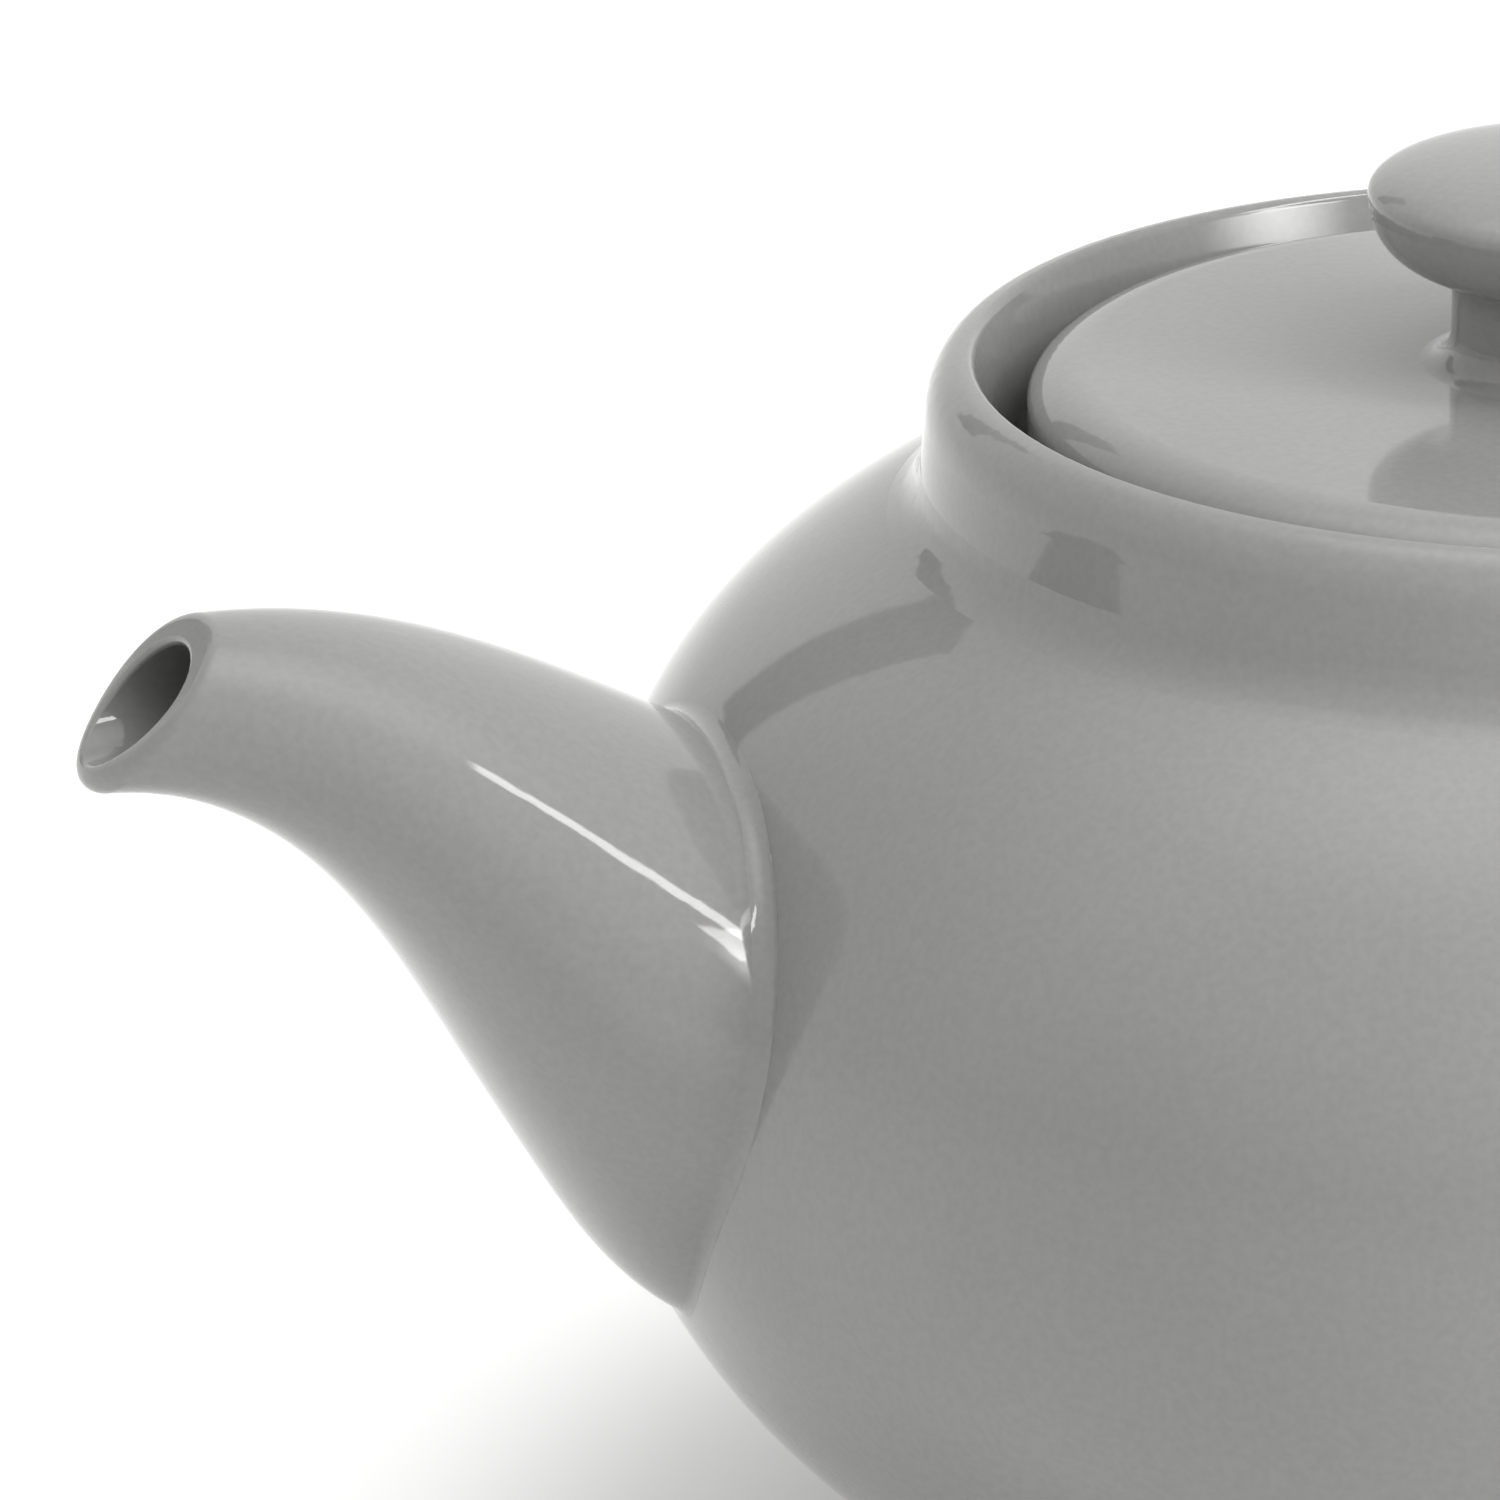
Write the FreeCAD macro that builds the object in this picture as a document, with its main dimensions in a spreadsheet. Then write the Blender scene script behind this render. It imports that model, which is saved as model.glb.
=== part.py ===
import FreeCAD, Part
import math
import os
import Sketcher

# A round glazed teapot: one fired pot with its spout and handle, and a loose lid with a button knob.
# The origin is on the pot's axis in the plane of its foot; the spout points along -X, the handle along +X.

vector = FreeCAD.Vector
document = FreeCAD.newDocument("teapot")

# Driving sizes in millimetres and degrees, kept in the sheet under these names
driving_sizes = {
    # bowl and shoulder, drawn as two curves that leave the widest ring straight down and straight up
    "belly_radius": 77.0,
    "belly_height": 50.0,
    "belly_fall": 15.9,
    "belly_rise": 21.5,
    "foot_curve_out": 26.0,
    "foot_curve_up": 11.3,
    "shoulder_height": 41.4,
    "shoulder_curve_out": 17.2,
    "shoulder_curve_down": 8.5,
    # foot ring
    "foot_radius": 42.0,
    "foot_height": 5.0,
    "foot_width": 6.0,
    "foot_recess": 3.0,
    "foot_round": 1.2,
    # collar, its lip and the ledge inside it that carries the lid
    "collar_radius": 50.7,
    "collar_height": 11.7,
    "collar_lean": 0.6,
    "collar_crease": 5.0,
    "rim_thickness": 3.9,
    "rim_outer_round": 5.0,
    "rim_inner_round": 0.6,
    "flare_width": 2.2,
    "flare_height": 8.0,
    "flare_slope": 20.0,
    "ledge_depth": 16.0,
    "ledge_width": 5.5,
    "ledge_thickness": 3.6,
    "ledge_round": 0.8,
    # hollow, whose curves start from the outer ones and from the floor
    "wall": 4.0,
    "floor_thickness": 5.0,
    "floor_edge_inset": 8.0,
    "floor_curve_up": 6.0,
    "hollow_rise": 3.3,
    "hollow_curve_out": 21.3,
    "hollow_curve_down": 1.2,
    # spout, its middle line as four points of one curve in the plane y = 0;
    # each point's reach is from the widest ring outwards, its rise from that ring upwards
    "spout_root_reach": -14.5,
    "spout_root_rise": 1.4,
    "spout_climb_reach": 4.2,
    "spout_climb_rise": 15.2,
    "spout_neck_reach": 17.8,
    "spout_neck_rise": 40.6,
    "spout_end_reach": 47.4,
    "spout_end_rise": 33.3,
    "spout_root_height": 44.4,
    "spout_climb_height": 30.3,
    "spout_neck_height": 14.2,
    "spout_end_height": 10.8,
    "spout_root_width": 45.2,
    "spout_climb_width": 65.0,
    "spout_neck_width": 20.0,
    "spout_end_width": 10.8,
    # the spout's foot, where its underside turns in to the bowl
    "spout_heel_reach": -3.6,
    "spout_heel_rise": -17.8,
    "spout_heel_slope": 30.0,
    "spout_heel_depth": 9.0,
    "spout_heel_height": 41.0,
    "spout_heel_width": 44.0,
    "spout_root_wall": 4.0,
    "spout_end_wall": 2.0,
    "spout_blend": 1.6,
    # slanted cut that ends the spout, set back from the last point of its middle line
    "lip_cut_back": 8.33,
    "lip_cut_angle": 43.0,
    "lip_outer_round": 1.3,
    "lip_inner_round": 0.45,
    # strainer holes in the wall behind the spout
    "strainer_rise": 11.0,
    "strainer_hole": 4.5,
    "strainer_spacing": 8.5,
    "strainer_holes": 6,
    "strainer_reach": 2.0,
    # handle, its middle line given as the spout's is
    "handle_top_reach": -17.0,
    "handle_top_rise": 29.0,
    "handle_crown_reach": 35.0,
    "handle_crown_rise": 69.0,
    "handle_heel_reach": 71.0,
    "handle_heel_rise": -10.0,
    "handle_foot_reach": -17.0,
    "handle_foot_rise": -20.0,
    "handle_root_depth": 14.0,
    "handle_grip_depth": 10.0,
    "handle_root_width": 22.0,
    "handle_grip_width": 17.0,
    "handle_blend": 3.0,
    # lid
    "lid_gap": 1.9,
    "lid_edge_height": 15.4,
    "lid_dome": 0.4,
    "lid_round_width": 4.5,
    "lid_round_height": 3.2,
    "lid_roof": 4.6,
    "lid_edge_round": 1.5,
    "flange_gap": 1.0,
    "flange_depth": 5.0,
    "flange_width": 3.6,
    "flange_round": 1.2,
    "vent_hole": 3.5,
    "vent_inset": 8.0,
    # knob
    "stem_radius": 9.1,
    "stem_height": 7.7,
    "stem_foot_round": 2.4,
    "stem_top_round": 2.6,
    "knob_overhang": 6.7,
    "knob_rise": 3.4,
    "knob_drop": 5.9,
    "knob_fullness": 0.62,
}

# Levels and radii that follow from the sizes above, as text for the sketches
collar_level = "(sizes.belly_height + sizes.shoulder_height)"
rim_level = f"({collar_level} + sizes.collar_height)"
rim_radius = "(sizes.collar_radius - sizes.collar_lean)"
flare_bore = f"({rim_radius} - sizes.rim_thickness)"
collar_bore = f"({flare_bore} - sizes.flare_width)"
ledge_level = f"({rim_level} - sizes.ledge_depth)"
ledge_bottom = f"({ledge_level} - sizes.ledge_thickness)"
ledge_bore = f"({collar_bore} - sizes.ledge_width)"
lid_radius = f"({collar_bore} - sizes.lid_gap)"
lid_shoulder = f"({ledge_level} + sizes.lid_edge_height)"
lid_top = f"({lid_shoulder} + sizes.lid_dome)"
lid_underside = f"({lid_shoulder} - sizes.lid_roof)"
flange_radius = f"({ledge_bore} - sizes.flange_gap)"
flange_bore = f"({flange_radius} - sizes.flange_width)"
flange_foot = f"({ledge_level} - sizes.flange_depth)"
knob_foot = f"({lid_top} + sizes.stem_height)"

# Share of a round quarter at which a curve's handle sits
round_handle = 0.5523
# An eight-point closed curve runs inside its points by this factor
oval_factor = 1.0 / ((46 * math.cos(math.radians(22.5)) + 2 * math.cos(math.radians(67.5))) / 48)
# Spans between the sections of each loft, and where the spout's own curve takes over from its heel
spout_sections = 7
handle_sections = 10
heel_overlap = 0.03


def make_sheet():
    sheet = document.addObject("Spreadsheet::Sheet", "sizes")
    for row, (name, value) in enumerate(driving_sizes.items(), start=1):
        sheet.set(f"A{row}", name)
        sheet.set(f"B{row}", str(value))
        sheet.setAlias(f"B{row}", name)
    document.recompute()
    return sheet


sheet = make_sheet()


def number(text):
    return float(sheet.evalExpression(text))


def origin_plane(body, role):
    return next(plane for plane in body.Origin.OriginFeatures if plane.Role == role)


def new_sketch(body, name, role, base=("0", "0", "0"), axis=None, angle="0"):
    # base and angle place the sketch within its plane's own frame
    sketch = body.newObject("Sketcher::SketchObject", name)
    sketch.AttachmentSupport = (origin_plane(body, role), "")
    sketch.MapMode = "FlatFace"
    if axis:
        sketch.AttachmentOffset = FreeCAD.Placement(vector(), FreeCAD.Rotation(axis, number(angle)))
        sketch.setExpression("AttachmentOffset.Rotation.Angle", angle)
    for letter, text in zip("xyz", base):
        if text != "0":
            sketch.setExpression(f"AttachmentOffset.Base.{letter}", text)
    return sketch


def pin(sketch, geometry, position, point):
    # holds one point of the sketch at two sizes of the sheet; a size of 0 puts it on an axis
    for kind, text, own_axis in zip(("DistanceX", "DistanceY"), point, (-2, -1)):
        if text == "0":
            sketch.addConstraint(Sketcher.Constraint("PointOnObject", geometry, position, own_axis))
            continue
        value = number(text)
        ends = (-1, 1, geometry, position) if value >= 0 else (geometry, position, -1, 1)
        signed = text if value >= 0 else f"-({text})"
        index = sketch.addConstraint(Sketcher.Constraint(kind, *ends, abs(value)))
        sketch.setExpression(f"Constraints[{index}]", signed)


def place(point):
    return vector(number(point[0]), number(point[1]), 0)


def draw_curve(sketch, points, knots, repeats, closed):
    curve = Part.BSplineCurve()
    curve.buildFromPolesMultsKnots([place(point) for point in points], repeats, knots, closed, 3)
    index = sketch.addGeometry(curve, False)
    sketch.exposeInternalGeometry(index)
    return index


def draw_outline(sketch, corners):
    # corners are (across, up), with the two handles of a curve as further pairs before its far end
    count = len(corners)
    spans = []
    for number_here, corner in enumerate(corners):
        following = corners[(number_here + 1) % count]
        start = corner[-1]
        handles = following[:-1]
        if handles:
            points = [start, *handles, following[-1]]
            index = draw_curve(sketch, points, [0, 1], [4, 4], False)
            for offset, handle in enumerate(handles):
                pin(sketch, index + 2 + offset, 3, handle)
        else:
            index = sketch.addGeometry(Part.LineSegment(place(start), place(following[-1])), False)
        spans.append(index)
    for number_here, index in enumerate(spans):
        following = spans[(number_here + 1) % count]
        sketch.addConstraint(Sketcher.Constraint("Coincident", index, 2, following, 1))
        pin(sketch, index, 1, corners[number_here][-1])


def revolve(body, kind, name, sketch):
    feature = body.newObject(kind, name)
    feature.Profile = sketch
    feature.ReferenceAxis = (sketch, ["V_Axis"])
    feature.Angle = 360
    sketch.Visibility = False
    document.recompute()
    return feature


def curve_text(names, share):
    # the text of a four-point curve's value at one share of its length, and of its direction there
    rest = 1 - share
    value_weights = (rest ** 3, 3 * share * rest ** 2, 3 * share ** 2 * rest, share ** 3)
    value = " + ".join(f"{weight:.6f} * {name}" for weight, name in zip(value_weights, names))
    slope_weights = (rest ** 2, 2 * share * rest, share ** 2)
    steps = zip(slope_weights, names[:-1], names[1:])
    slope = " + ".join(f"{weight:.6f} * ({end} - {start})" for weight, start, end in steps)
    return f"({value})", f"({slope})"


def oval_section(body, name, across, up, tilt, half_width, half_height):
    # a section square to the tube's middle line, drawn as one closed eight-point curve
    sketch = new_sketch(body, name, "YZ_Plane", ("0", up, across), vector(1, 0, 0), tilt)
    points = []
    for step in range(8):
        turn = math.radians(22.5 + 45 * step)
        points.append((f"{oval_factor * math.cos(turn):.6f} * {half_width}",
                       f"{oval_factor * math.sin(turn):.6f} * {half_height}"))
    index = draw_curve(sketch, points, list(range(9)), [1] * 9, True)
    for step, point in enumerate(points):
        pin(sketch, index + 1 + step, 3, point)
    sketch.Visibility = False
    return sketch


def tube_sections(body, name, side, middle, places, heights, widths, walls, shares):
    # oval sections along a four-point middle line; the walls thin each one on every side
    outs = [f"({side} * (sizes.belly_radius + sizes.{middle}_{place_name}_reach))" for place_name in places]
    ups = [f"(sizes.belly_height + sizes.{middle}_{place_name}_rise)" for place_name in places]
    sections = []
    for step, share in enumerate(shares, start=1):
        across, across_slope = curve_text(outs, share)
        up, up_slope = curve_text(ups, share)
        tilt = f"atan2(-{up_slope}; {across_slope})"
        thinning = f"({1 - share:.6f} * {walls[0]} + {share:.6f} * {walls[1]})"
        half_height = f"({curve_text(heights, share)[0]} / 2 - {thinning})"
        half_width = f"({curve_text(widths, share)[0]} / 2 - {thinning})"
        sections.append(oval_section(body, f"{name}_section_{step}", across, up, tilt,
                                     half_width, half_height))
    return sections


def heel_section(body, name, depth):
    # a section of the spout's foot, square to the line along which its underside enters the bowl
    slope = "sizes.spout_heel_slope"
    half_height = "(sizes.spout_heel_height / 2)"
    across = (f"(-sizes.belly_radius - sizes.spout_heel_reach + {half_height} * sin({slope} * 1 deg) "
              f"+ {depth} * cos({slope} * 1 deg))")
    up = (f"(sizes.belly_height + sizes.spout_heel_rise + {half_height} * cos({slope} * 1 deg) "
          f"- {depth} * sin({slope} * 1 deg))")
    return oval_section(body, name, across, up, f"(180 - {slope}) * 1 deg * -1",
                        "(sizes.spout_heel_width / 2)", half_height)


def loft(body, kind, name, sections):
    feature = body.newObject(kind, name)
    feature.Profile = sections[0]
    feature.Sections = sections[1:]
    document.recompute()
    return feature


def edge_names(feature, wanted):
    return [f"Edge{index}" for index, edge in enumerate(feature.Shape.Edges, start=1) if wanted(edge)]


def round_edges(body, name, feature, radius_text, wanted):
    names = edge_names(feature, wanted)
    if not names:
        raise RuntimeError(f"{name} found no edge to round")
    fillet = body.newObject("PartDesign::Fillet", name)
    fillet.Base = (feature, names)
    fillet.setExpression("Radius", radius_text)
    document.recompute()
    return fillet


def sampled(edge):
    first, last = edge.ParameterRange
    return [edge.valueAt(first + (last - first) * step / 6) for step in range(7)]


def ring_at(radius_text, level_text):
    # picks the circle about the pot's axis with this radius at this level
    radius = number(radius_text)
    level = number(level_text)

    def wanted(edge):
        points = sampled(edge)
        on_level = all(abs(point.z - level) < 0.01 for point in points)
        on_radius = all(abs(math.hypot(point.x, point.y) - radius) < 0.01 for point in points)
        return on_level and on_radius
    return wanted


def any_of(*tests):
    return lambda edge: any(test(edge) for test in tests)


def quarter_round(start, corner, end):
    # the two handles and the far end of the curve that rounds off a corner
    pulled = [tuple(f"{1 - round_handle:.4f} * ({own}) + {round_handle} * ({target})"
                    for own, target in zip(point, corner)) for point in (start, end)]
    return [*pulled, end]


def pot_outline():
    foot = ("sizes.foot_radius", "sizes.foot_height")
    widest = ("sizes.belly_radius", "sizes.belly_height")
    collar = ("sizes.collar_radius", collar_level)
    outside = (rim_radius, f"{rim_level} - sizes.rim_outer_round")
    crest = (f"{flare_bore} + sizes.rim_inner_round", rim_level)
    inside = (flare_bore, f"{rim_level} - sizes.rim_inner_round")
    lean = "tan(sizes.flare_slope * 1 deg)"
    inside_corner = (f"{flare_bore} + sizes.rim_inner_round * {lean}", rim_level)
    flare_foot = (collar_bore, f"{inside[1]} - sizes.flare_height")
    return [
        [("0", "sizes.foot_recess")],
        [("sizes.foot_radius - sizes.foot_width", "sizes.foot_recess")],
        [("sizes.foot_radius - sizes.foot_width", "0")],
        [("sizes.foot_radius", "0")],
        [foot],
        [(f"{foot[0]} + sizes.foot_curve_out", f"{foot[1]} + sizes.foot_curve_up"),
         (widest[0], f"{widest[1]} - sizes.belly_fall"), widest],
        [(widest[0], f"{widest[1]} + sizes.belly_rise"),
         (f"{collar[0]} + sizes.shoulder_curve_out", f"{collar[1]} - sizes.shoulder_curve_down"), collar],
        [outside],
        quarter_round(outside, (rim_radius, rim_level), crest),
        quarter_round(crest, inside_corner, inside),
        [(f"{flare_bore} - sizes.flare_height / 3 * {lean}", f"{inside[1]} - sizes.flare_height / 3"),
         (collar_bore, f"{flare_foot[1]} + sizes.flare_height / 3"), flare_foot],
        [(collar_bore, ledge_level)],
        [("0", ledge_level)],
    ]


def hollow_outline():
    widest = ("sizes.belly_radius - sizes.wall", "sizes.belly_height")
    floor_level = "sizes.foot_recess + sizes.floor_thickness"
    return [
        [("0", floor_level)],
        [("sizes.foot_radius - sizes.floor_edge_inset", floor_level),
         (widest[0], f"{floor_level} + sizes.floor_curve_up"), widest],
        [(widest[0], f"{widest[1]} + sizes.belly_rise + sizes.hollow_rise"),
         (f"{ledge_bore} + sizes.hollow_curve_out", f"{ledge_bottom} - sizes.hollow_curve_down"),
         (ledge_bore, ledge_bottom)],
        [(ledge_bore, rim_level)],
        [("0", rim_level)],
    ]


# Where the slanted cut crosses the level of the spout's last point
lip_cut_place = ("(sizes.belly_radius + sizes.spout_end_reach - sizes.lip_cut_back)",
                 "(sizes.belly_height + sizes.spout_end_rise)")


def cut_spout_lip(body):
    # everything beyond the slanted plane goes
    sketch = new_sketch(body, "lip_cut_outline", "XZ_Plane",
                        (f"-{lip_cut_place[0]}", lip_cut_place[1], "0"), vector(0, 0, 1),
                        "180 - sizes.lip_cut_angle")
    reach = "sizes.spout_root_width"
    draw_outline(sketch, [[("0", f"-{reach}")], [(reach, f"-{reach}")], [(reach, reach)], [("0", reach)]])
    document.recompute()
    cut = body.newObject("PartDesign::Pocket", "lip_cut")
    cut.Profile = sketch
    cut.SideType = "Symmetric"
    cut.setExpression("Length", "2 * sizes.spout_root_width")
    sketch.Visibility = False
    document.recompute()
    return cut


def lip_edge(feature, pick):
    # picks the longest (max) or the shortest (min) edge of the spout's cut face
    angle = math.radians(number("sizes.lip_cut_angle"))
    normal = vector(-math.cos(angle), 0, math.sin(angle))
    base = vector(-number(lip_cut_place[0]), 0, number(lip_cut_place[1]))
    around_cut = [edge for edge in feature.Shape.Edges
                  if all(abs((point - base).dot(normal)) < 0.01 for point in sampled(edge))]
    return pick(around_cut, key=lambda edge: edge.Length).isSame


def joins_pot(edge):
    # picks the closed line where a tube meets the bowl
    highest = number(collar_level)
    radius = number("sizes.belly_radius") + 0.01
    beyond_foot = number("sizes.foot_radius")
    points = sampled(edge)
    return all(math.hypot(point.x, point.y) < radius and abs(point.x) > beyond_foot
               and point.z < highest for point in points)


def make_bowl_form(body):
    # the pot's whole outside as a filled solid
    outline = new_sketch(body, f"{body.Name}_outline", "YZ_Plane")
    draw_outline(outline, pot_outline())
    return revolve(body, "PartDesign::Revolution", f"{body.Name}_outside", outline)


def pierce(body, name, hole_up):
    # one strainer hole straight through the wall behind the spout
    strainer_level = "sizes.belly_height + sizes.strainer_rise"
    sketch = new_sketch(body, f"{name}_outline", "YZ_Plane", ("0", strainer_level, "0"))
    circle = sketch.addGeometry(Part.Circle(vector(0, number(hole_up), 0), vector(0, 0, 1),
                                            number("sizes.strainer_hole") / 2), False)
    pin(sketch, circle, 3, ("0", hole_up))
    index = sketch.addConstraint(Sketcher.Constraint("Radius", circle, number("sizes.strainer_hole") / 2))
    sketch.setExpression(f"Constraints[{index}]", "sizes.strainer_hole / 2")
    document.recompute()
    hole = body.newObject("PartDesign::Pocket", name)
    hole.Profile = sketch
    hole.setExpression("Length", "sizes.belly_radius + sizes.strainer_reach")
    sketch.Visibility = False
    document.recompute()
    return hole


def make_pot():
    body = document.addObject("PartDesign::Body", "teapot_body")
    form = make_bowl_form(body)
    crease = round_edges(body, "collar_crease", form, "sizes.collar_crease",
                         ring_at("sizes.collar_radius", collar_level))
    round_edges(body, "foot_rounding", crease, "sizes.foot_round",
                any_of(ring_at("sizes.foot_radius", "0"),
                       ring_at("sizes.foot_radius - sizes.foot_width", "0"),
                       ring_at("sizes.foot_radius", "sizes.foot_height")))

    inside = new_sketch(body, "hollow_outline", "YZ_Plane")
    draw_outline(inside, hollow_outline())
    hollow = revolve(body, "PartDesign::Groove", "hollow", inside)
    round_edges(body, "ledge_rounding", hollow, "sizes.ledge_round",
                any_of(ring_at(ledge_bore, ledge_level), ring_at(ledge_bore, ledge_bottom),
                       ring_at(collar_bore, ledge_level)))

    pierce(body, "strainer_middle_hole", "0")
    outer = pierce(body, "strainer_ring_hole", "sizes.strainer_spacing")
    ring = body.newObject("PartDesign::PolarPattern", "strainer_ring")
    ring.Originals = [outer]
    ring.Axis = (outer.Profile[0], ["N_Axis"])
    ring.Angle = 360
    ring.setExpression("Occurrences", "sizes.strainer_holes")
    body.Tip = ring
    document.recompute()
    return body, form


def part_from_bowl(name, body, bowl):
    # a tube is blended into the bowl's form and then parted from it along the bowl's own surface
    parted = document.addObject("Part::Cut", name)
    parted.Base = body
    parted.Tool = bowl
    document.recompute()
    return parted


def make_spout(bowl):
    body = document.addObject("PartDesign::Body", "spout_on_bowl")
    places = ("root", "climb", "neck", "end")
    heights = [f"sizes.spout_{name}_height" for name in places]
    widths = [f"sizes.spout_{name}_width" for name in places]
    heel = [heel_section(body, "spout_heel_inner", "sizes.spout_heel_depth"),
            heel_section(body, "spout_heel_outer", "0")]
    shares = [step / spout_sections for step in range(spout_sections + 1)]
    outside = tube_sections(body, "spout_outside", -1, "spout", places, heights, widths,
                            ("0", "0"), [heel_overlap, *shares[1:]])
    loft(body, "PartDesign::AdditiveLoft", "spout_outside", heel + outside)
    bore = tube_sections(body, "spout_bore", -1, "spout", places, heights, widths,
                         ("sizes.spout_root_wall", "sizes.spout_end_wall"), shares)
    loft(body, "PartDesign::SubtractiveLoft", "spout_bore", bore)
    lip = cut_spout_lip(body)
    lip = round_edges(body, "lip_outer_rounding", lip, "sizes.lip_outer_round", lip_edge(lip, max))
    round_edges(body, "lip_inner_rounding", lip, "sizes.lip_inner_round", lip_edge(lip, min))
    form = make_bowl_form(body)
    round_edges(body, "spout_blend", form, "sizes.spout_blend", joins_pot)
    return part_from_bowl("teapot_spout", body, bowl)


def make_handle(bowl):
    body = document.addObject("PartDesign::Body", "handle_on_bowl")
    make_bowl_form(body)
    grip = ["sizes.handle_root", "sizes.handle_grip", "sizes.handle_grip", "sizes.handle_grip"]
    sections = tube_sections(body, "handle", 1, "handle", ("top", "crown", "heel", "foot"),
                             [f"{name}_depth" for name in grip], [f"{name}_width" for name in grip],
                             ("0", "0"), [step / handle_sections for step in range(handle_sections + 1)])
    handle = loft(body, "PartDesign::AdditiveLoft", "handle", sections)
    round_edges(body, "handle_blend", handle, "sizes.handle_blend", joins_pot)
    return part_from_bowl("teapot_handle", body, bowl)


def lid_outline():
    stem = "sizes.stem_radius"
    edge = (lid_radius, f"{lid_shoulder} - sizes.lid_round_height")
    dome_edge = (f"{lid_radius} - sizes.lid_round_width", lid_shoulder)
    dome_third = f"({dome_edge[0]} - {stem}) / 3"
    corner = (lid_radius, f"{lid_shoulder} - sizes.lid_dome * sizes.lid_round_width / ({dome_third})")
    knob = (f"({stem} + sizes.knob_overhang)", f"({knob_foot} + sizes.knob_drop)")
    knob_top = f"{knob[1]} + sizes.knob_rise"
    return [
        [("0", lid_underside)],
        [(flange_bore, lid_underside)],
        [(flange_bore, flange_foot)],
        [(flange_radius, flange_foot)],
        [(flange_radius, ledge_level)],
        [(lid_radius, ledge_level)],
        [edge],
        quarter_round(edge, corner, dome_edge),
        [(f"{stem} + 2 * {dome_third}", lid_top), (f"{stem} + {dome_third}", lid_top), (stem, lid_top)],
        [(stem, knob_foot)],
        [(f"{stem} + sizes.knob_fullness * sizes.knob_overhang", knob_foot),
         (knob[0], f"{knob[1]} - sizes.knob_fullness * sizes.knob_drop"), knob],
        [(knob[0], f"{knob[1]} + sizes.knob_fullness * sizes.knob_rise"),
         (f"sizes.knob_fullness * {knob[0]}", knob_top), ("0", knob_top)],
    ]


def make_lid():
    body = document.addObject("PartDesign::Body", "teapot_lid")
    outline = new_sketch(body, "lid_outline", "YZ_Plane")
    draw_outline(outline, lid_outline())
    turned = revolve(body, "PartDesign::Revolution", "lid_turned", outline)

    rounded = round_edges(body, "lid_edge", turned, "sizes.lid_edge_round",
                          ring_at(lid_radius, ledge_level))
    rounded = round_edges(body, "flange_rounding", rounded, "sizes.flange_round",
                          any_of(ring_at(flange_radius, flange_foot), ring_at(flange_bore, flange_foot),
                                 ring_at(flange_bore, lid_underside)))
    rounded = round_edges(body, "stem_foot", rounded, "sizes.stem_foot_round",
                          ring_at("sizes.stem_radius", lid_top))
    round_edges(body, "stem_top", rounded, "sizes.stem_top_round",
                ring_at("sizes.stem_radius", knob_foot))

    vent_out = f"{flange_bore} - sizes.vent_inset"
    sketch = new_sketch(body, "vent_outline", "XY_Plane", ("0", "0", rim_level))
    circle = sketch.addGeometry(Part.Circle(vector(number(vent_out), 0, 0), vector(0, 0, 1),
                                            number("sizes.vent_hole") / 2), False)
    pin(sketch, circle, 3, (vent_out, "0"))
    index = sketch.addConstraint(Sketcher.Constraint("Radius", circle, number("sizes.vent_hole") / 2))
    sketch.setExpression(f"Constraints[{index}]", "sizes.vent_hole / 2")
    document.recompute()
    vent = body.newObject("PartDesign::Pocket", "vent")
    vent.Profile = sketch
    vent.setExpression("Length", f"{rim_level} - {lid_underside} + sizes.lid_dome")
    sketch.Visibility = False
    document.recompute()
    return body


pot, bowl_form = make_pot()
sub_parts = [pot, make_spout(bowl_form), make_handle(bowl_form), make_lid()]
document.recompute()

for item in document.Objects:
    if "Invalid" in item.State or "Error" in item.State:
        raise RuntimeError(f"{item.Name} failed: {item.State}")
os.makedirs("parts", exist_ok=True)
for sub_part in sub_parts:
    shape = sub_part.Shape
    if shape.isNull() or not shape.isValid() or len(shape.Solids) != 1:
        raise RuntimeError(f"{sub_part.Label} is not one valid solid")
for sub_part in sub_parts:
    sub_part.Shape.exportStep(f"parts/{sub_part.Label}.step")
    print(sub_part.Label, round(sub_part.Shape.Volume), sub_part.Shape.BoundBox)
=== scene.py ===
import bpy
import math
from mathutils import Matrix, Quaternion, Vector

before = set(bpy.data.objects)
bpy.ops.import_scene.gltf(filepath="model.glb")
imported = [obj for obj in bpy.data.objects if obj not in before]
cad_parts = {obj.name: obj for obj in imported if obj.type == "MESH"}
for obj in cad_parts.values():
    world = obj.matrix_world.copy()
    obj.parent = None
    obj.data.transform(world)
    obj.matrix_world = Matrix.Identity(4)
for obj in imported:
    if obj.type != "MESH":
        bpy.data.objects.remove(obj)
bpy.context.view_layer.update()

# Where the photographer stood and how the picture is cropped, in metres in the part's own frame
cameraSet = {
    "place": (-0.28248, -0.80885, 0.37769),
    "heading": 0.26154,   # radians from +Y towards +X
    "downTilt": 0.34503,
    "lens": 275.958,
    "sensor": 36.0,
    "farthest": 30.0,
}


def makeCamera(settings):
    data = bpy.data.cameras.new("pictureCamera")
    camera = bpy.data.objects.new("pictureCamera", data)
    bpy.context.scene.collection.objects.link(camera)
    heading = settings["heading"]
    tilt = settings["downTilt"]
    ahead = Vector((math.sin(heading) * math.cos(tilt), math.cos(heading) * math.cos(tilt), -math.sin(tilt)))
    right = Vector((math.cos(heading), -math.sin(heading), 0.0))
    above = right.cross(ahead)
    turn = Matrix((right, above, -ahead)).transposed().to_4x4()
    camera.matrix_world = Matrix.Translation(settings["place"]) @ turn
    data.lens = settings["lens"]
    data.sensor_width = settings["sensor"]
    data.clip_end = settings["farthest"]
    bpy.context.scene.camera = camera
    print("camera placed")


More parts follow.
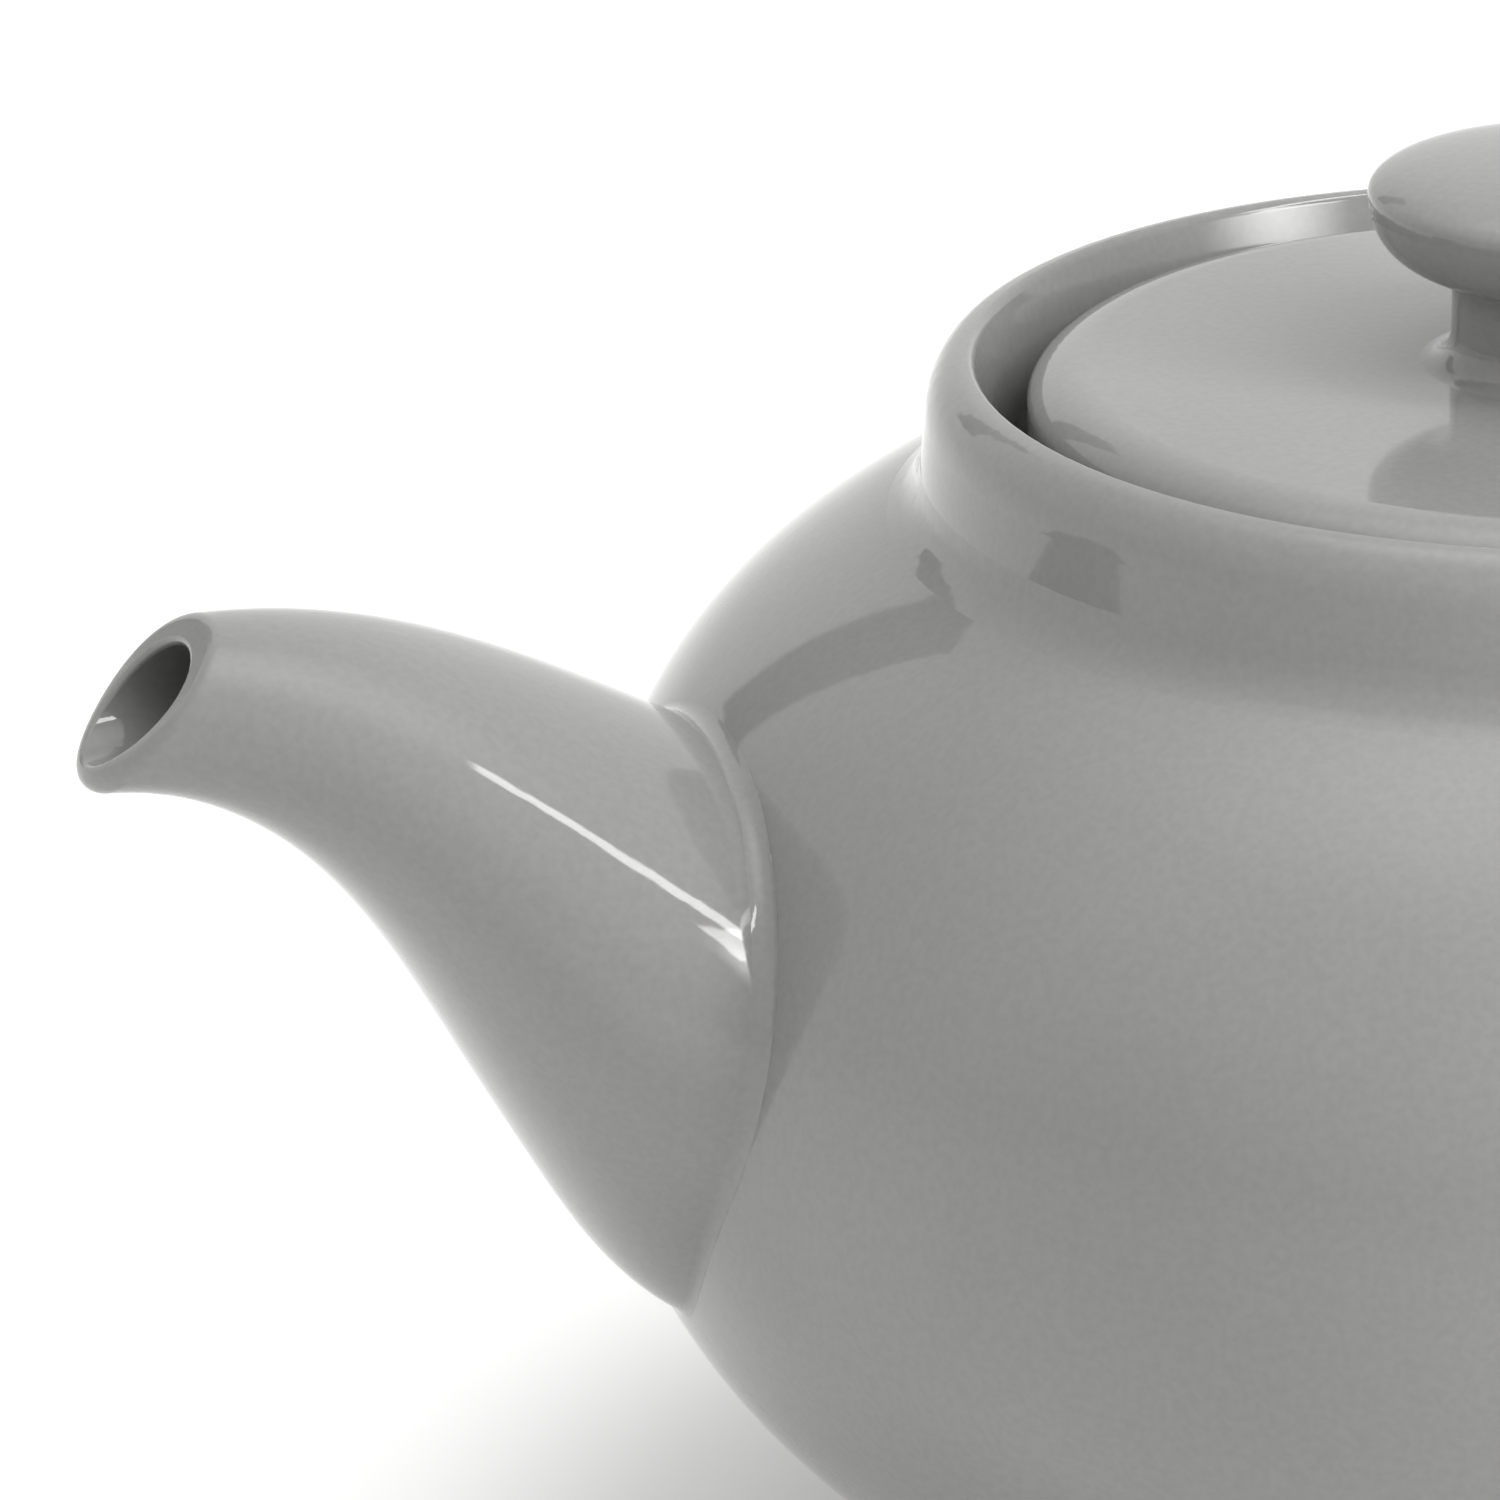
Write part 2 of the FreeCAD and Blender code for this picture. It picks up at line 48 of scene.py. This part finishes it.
# Node helpers shared by the lights, the floor and the glaze
def mathNode(nodes, links, operation, first, second):
    # first is a socket, second a socket or a plain number
    node = nodes.new("ShaderNodeMath")
    node.operation = operation
    links.new(first, node.inputs[0])
    if isinstance(second, float):
        node.inputs[1].default_value = second
    else:
        links.new(second, node.inputs[1])
    return node.outputs[0]


def ramp(nodes, links, value, before, after, interpolation="LINEAR"):
    # carries value from the span before to the span after
    node = nodes.new("ShaderNodeMapRange")
    node.interpolation_type = interpolation
    node.inputs["From Min"].default_value, node.inputs["From Max"].default_value = before
    node.inputs["To Min"].default_value, node.inputs["To Max"].default_value = after
    links.new(value, node.inputs["Value"])
    return node.outputs["Result"]


# Soft light: an even pale room, a broad box overhead, and three boxes at the right front. The side strip and
# the tip make the line on the spout and its wider end, and the key makes the pale strip inside the collar
lightSet = {
    "roomColor": (1.0, 1.0, 0.998, 1.0),
    "roomLight": 0.81,
    "roomMirror": 1.0,
    "aimHeight": 0.07,
    "boxes": {
        "top": {"low": (0.0, -0.65, 1.2), "high": (0.0, 0.85, 1.2), "width": 1.5, "power": 10.5,
                "fade": True},
        "side": {"low": (0.508, -0.344, 0.516), "high": (0.17, -0.24, 0.8), "width": 0.085, "power": 1.3,
                 "fade": False},
        "key": {"low": (0.31, -0.31, 0.15), "high": (0.325, -0.325, 0.43), "width": 0.32, "power": 3.6,
                "fade": True},
        "tip": {"low": (0.247, -0.258, 0.284), "high": (0.216, -0.235, 0.344), "width": 0.118, "power": 0.26,
                "fade": False},
    },
}


def softBox(name, box, aimHeight):
    # a box whose long side runs from low to high and which faces the pot; fade makes it dim towards its edges
    low, high = Vector(box["low"]), Vector(box["high"])
    data = bpy.data.lights.new(name, "AREA")
    data.shape = "RECTANGLE"
    data.size = box["width"]
    data.size_y = (high - low).length
    data.energy = box["power"]
    lamp = bpy.data.objects.new(name, data)
    bpy.context.scene.collection.objects.link(lamp)
    middle = (low + high) / 2
    along = (high - low).normalized()
    away = middle - Vector((0.0, 0.0, aimHeight))
    away = (away - along * away.dot(along)).normalized()
    turn = Matrix((along.cross(away), along, away)).transposed().to_4x4()
    lamp.matrix_world = Matrix.Translation(middle) @ turn
    lamp.visible_camera = False
    if not box["fade"]:
        return
    data.use_nodes = True
    nodes = data.node_tree.nodes
    links = data.node_tree.links
    place = nodes.new("ShaderNodeSeparateXYZ")
    links.new(nodes.new("ShaderNodeNewGeometry").outputs["Parametric"], place.inputs[0])
    shares = []
    for axis in ("X", "Y"):
        fromEdge = mathNode(nodes, links, "PINGPONG", place.outputs[axis], 0.5)
        shares.append(ramp(nodes, links, fromEdge, (0.0, 0.5), (0.0, 1.0), "SMOOTHSTEP"))
    both = mathNode(nodes, links, "MULTIPLY", shares[0], shares[1])
    links.new(both, nodes["Emission"].inputs["Strength"])


def makeRoom(settings):
    world = bpy.data.worlds.new("paleRoom")
    bpy.context.scene.world = world
    world.use_nodes = True
    nodes = world.node_tree.nodes
    links = world.node_tree.links
    background = nodes["Background"]
    background.inputs["Color"].default_value = settings["roomColor"]
    path = nodes.new("ShaderNodeLightPath").outputs
    mirrored = mathNode(nodes, links, "MULTIPLY", path["Is Glossy Ray"], settings["roomMirror"])
    seen = mathNode(nodes, links, "MAXIMUM", path["Is Camera Ray"], mirrored)
    strength = mathNode(nodes, links, "MAXIMUM", seen, settings["roomLight"])
    links.new(strength, background.inputs["Strength"])
    for name, box in settings["boxes"].items():
        softBox(f"{name}Softbox", box, settings["aimHeight"])
    print("light placed")


# A slanting grey card behind the pot at the left, seen only in the glaze
cardSet = {
    "around": -21.2,   # degrees from +Y towards +X
    "up": 25.0,        # degrees above the floor
    "lean": 16.0,      # degrees its top leans to the right, seen from the pot
    "distance": 1.5,
    "size": (0.23, 0.68),
    "light": 0.35,
}


def greyCard(settings):
    around, up, lean = (math.radians(settings[angle]) for angle in ("around", "up", "lean"))
    towards = Vector((math.sin(around) * math.cos(up), math.cos(around) * math.cos(up), math.sin(up)))
    turn = towards.to_track_quat("Z", "Y") @ Quaternion((0, 0, 1), lean)
    bpy.ops.object.select_all(action="DESELECT")
    bpy.ops.mesh.primitive_plane_add(size=1.0, location=towards * settings["distance"],
                                     rotation=turn.to_euler())
    card = bpy.context.object
    card.name = "greyCard"
    card.scale = (*settings["size"], 1.0)
    material = bpy.data.materials.new("greyCardBoard")
    material.use_nodes = True
    shader = material.node_tree.nodes["Principled BSDF"]
    shader.inputs["Base Color"].default_value = (0.0, 0.0, 0.0, 1.0)
    shader.inputs["Specular IOR Level"].default_value = 0.0
    shader.inputs["Emission Color"].default_value = (1.0, 1.0, 1.0, 1.0)
    shader.inputs["Emission Strength"].default_value = settings["light"]
    card.data.materials.append(material)
    card.visible_camera = False
    card.visible_diffuse = False
    card.visible_transmission = False
    card.visible_shadow = False
    print("card placed")


# A white floor that keeps the pot's shadow and goes over into the white background away from it. Close to the
# pot it gets less added paleness, a painted shadow that deepens the real one
floorSet = {
    "size": 60.0,
    "color": (0.88, 0.88, 0.878, 1.0),
    "roughness": 0.9,
    "gloss": 0.1,
    # painted shadow: the paleness close to the pot, and the distances over which it rises to the open
    # paleness
    "paintedShadowPaleness": 0.1,
    "openPaleness": 0.32,
    "paintedShadowReach": 0.07,
    "paintedShadowOuterReach": 0.102,
}


def makeFloor(settings):
    bpy.ops.object.select_all(action="DESELECT")
    bpy.ops.mesh.primitive_plane_add(size=settings["size"], location=(0, 0, 0))
    floor = bpy.context.object
    floor.name = "paleFloor"
    material = bpy.data.materials.new("paleFloorPaper")
    material.use_nodes = True
    nodes = material.node_tree.nodes
    links = material.node_tree.links
    shader = nodes["Principled BSDF"]
    shader.inputs["Base Color"].default_value = settings["color"]
    shader.inputs["Roughness"].default_value = settings["roughness"]
    shader.inputs["Specular IOR Level"].default_value = settings["gloss"]
    path = nodes.new("ShaderNodeLightPath").outputs
    seen = mathNode(nodes, links, "MAXIMUM", path["Is Camera Ray"], path["Is Glossy Ray"])
    reach = nodes.new("ShaderNodeVectorMath")
    reach.operation = "LENGTH"
    links.new(nodes.new("ShaderNodeTexCoord").outputs["Object"], reach.inputs[0])
    # painted shadow: the paleness added for camera and mirrored rays is lower within a ring around the pot,
    # so the floor reads darker next to it
    paintedShadowFade = ramp(nodes, links, reach.outputs["Value"], (settings["paintedShadowReach"], settings["paintedShadowOuterReach"]),
                   (settings["paintedShadowPaleness"], settings["openPaleness"]), "SMOOTHSTEP")
    shader.inputs["Emission Color"].default_value = (1.0, 1.0, 1.0, 1.0)
    links.new(mathNode(nodes, links, "MULTIPLY", seen, paintedShadowFade), shader.inputs["Emission Strength"])
    floor.data.materials.append(material)
    print("floor placed")


# Mid-grey glaze: slightly cloudy colour, fine specks, uneven gloss, and a very shallow swell and peel
glazeSet = {
    "thinColor": (0.262, 0.262, 0.256, 1.0),
    "deepColor": (0.24, 0.24, 0.234, 1.0),
    "noiseSpan": (0.3, 0.7),
    "cloudScale": 26.0,
    "cloudDetail": 2.0,
    "speckScale": 1400.0,
    "speckDetail": 1.0,
    "speckAmount": 0.035,
    "roughLow": 0.05,
    "roughHigh": 0.085,
    "roughScale": 60.0,
    "roughDetail": 3.0,
    "swellScale": 34.0,
    "swellHeight": 0.00002,
    "peelScale": 420.0,
    "peelHeight": 0.0000005,
    "bumpDetail": 1.0,
    "ior": 1.5,
}


def noise(nodes, links, place, scale, detail):
    texture = nodes.new("ShaderNodeTexNoise")
    texture.inputs["Scale"].default_value = scale
    texture.inputs["Detail"].default_value = detail
    links.new(place, texture.inputs["Vector"])
    return texture.outputs["Fac"]


def glazeMaterial(settings):
    material = bpy.data.materials.new("greyGlaze")
    material.use_nodes = True
    nodes = material.node_tree.nodes
    links = material.node_tree.links
    shader = nodes["Principled BSDF"]
    place = nodes.new("ShaderNodeTexCoord").outputs["Object"]

    def uneven(kind, low, high):
        share = noise(nodes, links, place, settings[f"{kind}Scale"], settings[f"{kind}Detail"])
        return ramp(nodes, links, share, settings["noiseSpan"], (low, high))

    clouds = nodes.new("ShaderNodeMix")
    clouds.data_type = "RGBA"
    clouds.inputs["A"].default_value = settings["thinColor"]
    clouds.inputs["B"].default_value = settings["deepColor"]
    links.new(uneven("cloud", 0.0, 1.0), clouds.inputs["Factor"])
    specks = nodes.new("ShaderNodeHueSaturation")
    amount = settings["speckAmount"]
    links.new(uneven("speck", 1.0 - amount, 1.0 + amount), specks.inputs["Value"])
    links.new(clouds.outputs["Result"], specks.inputs["Color"])
    links.new(specks.outputs["Color"], shader.inputs["Base Color"])
    links.new(uneven("rough", settings["roughLow"], settings["roughHigh"]), shader.inputs["Roughness"])

    previous = None
    for kind in ("swell", "peel"):
        bump = nodes.new("ShaderNodeBump")
        bump.inputs["Distance"].default_value = settings[f"{kind}Height"]
        height = noise(nodes, links, place, settings[f"{kind}Scale"], settings["bumpDetail"])
        links.new(height, bump.inputs["Height"])
        if previous:
            links.new(previous, bump.inputs["Normal"])
        previous = bump.outputs["Normal"]
    links.new(previous, shader.inputs["Normal"])
    shader.inputs["IOR"].default_value = settings["ior"]
    print("glaze mixed")
    return material


makeCamera(cameraSet)
makeRoom(lightSet)
greyCard(cardSet)
makeFloor(floorSet)
bpy.context.scene.view_settings.view_transform = "Standard"
glaze = glazeMaterial(glazeSet)
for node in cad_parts.values():
    node.data.materials.clear()
    node.data.materials.append(glaze)
print("glaze on", len(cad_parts), "pieces")
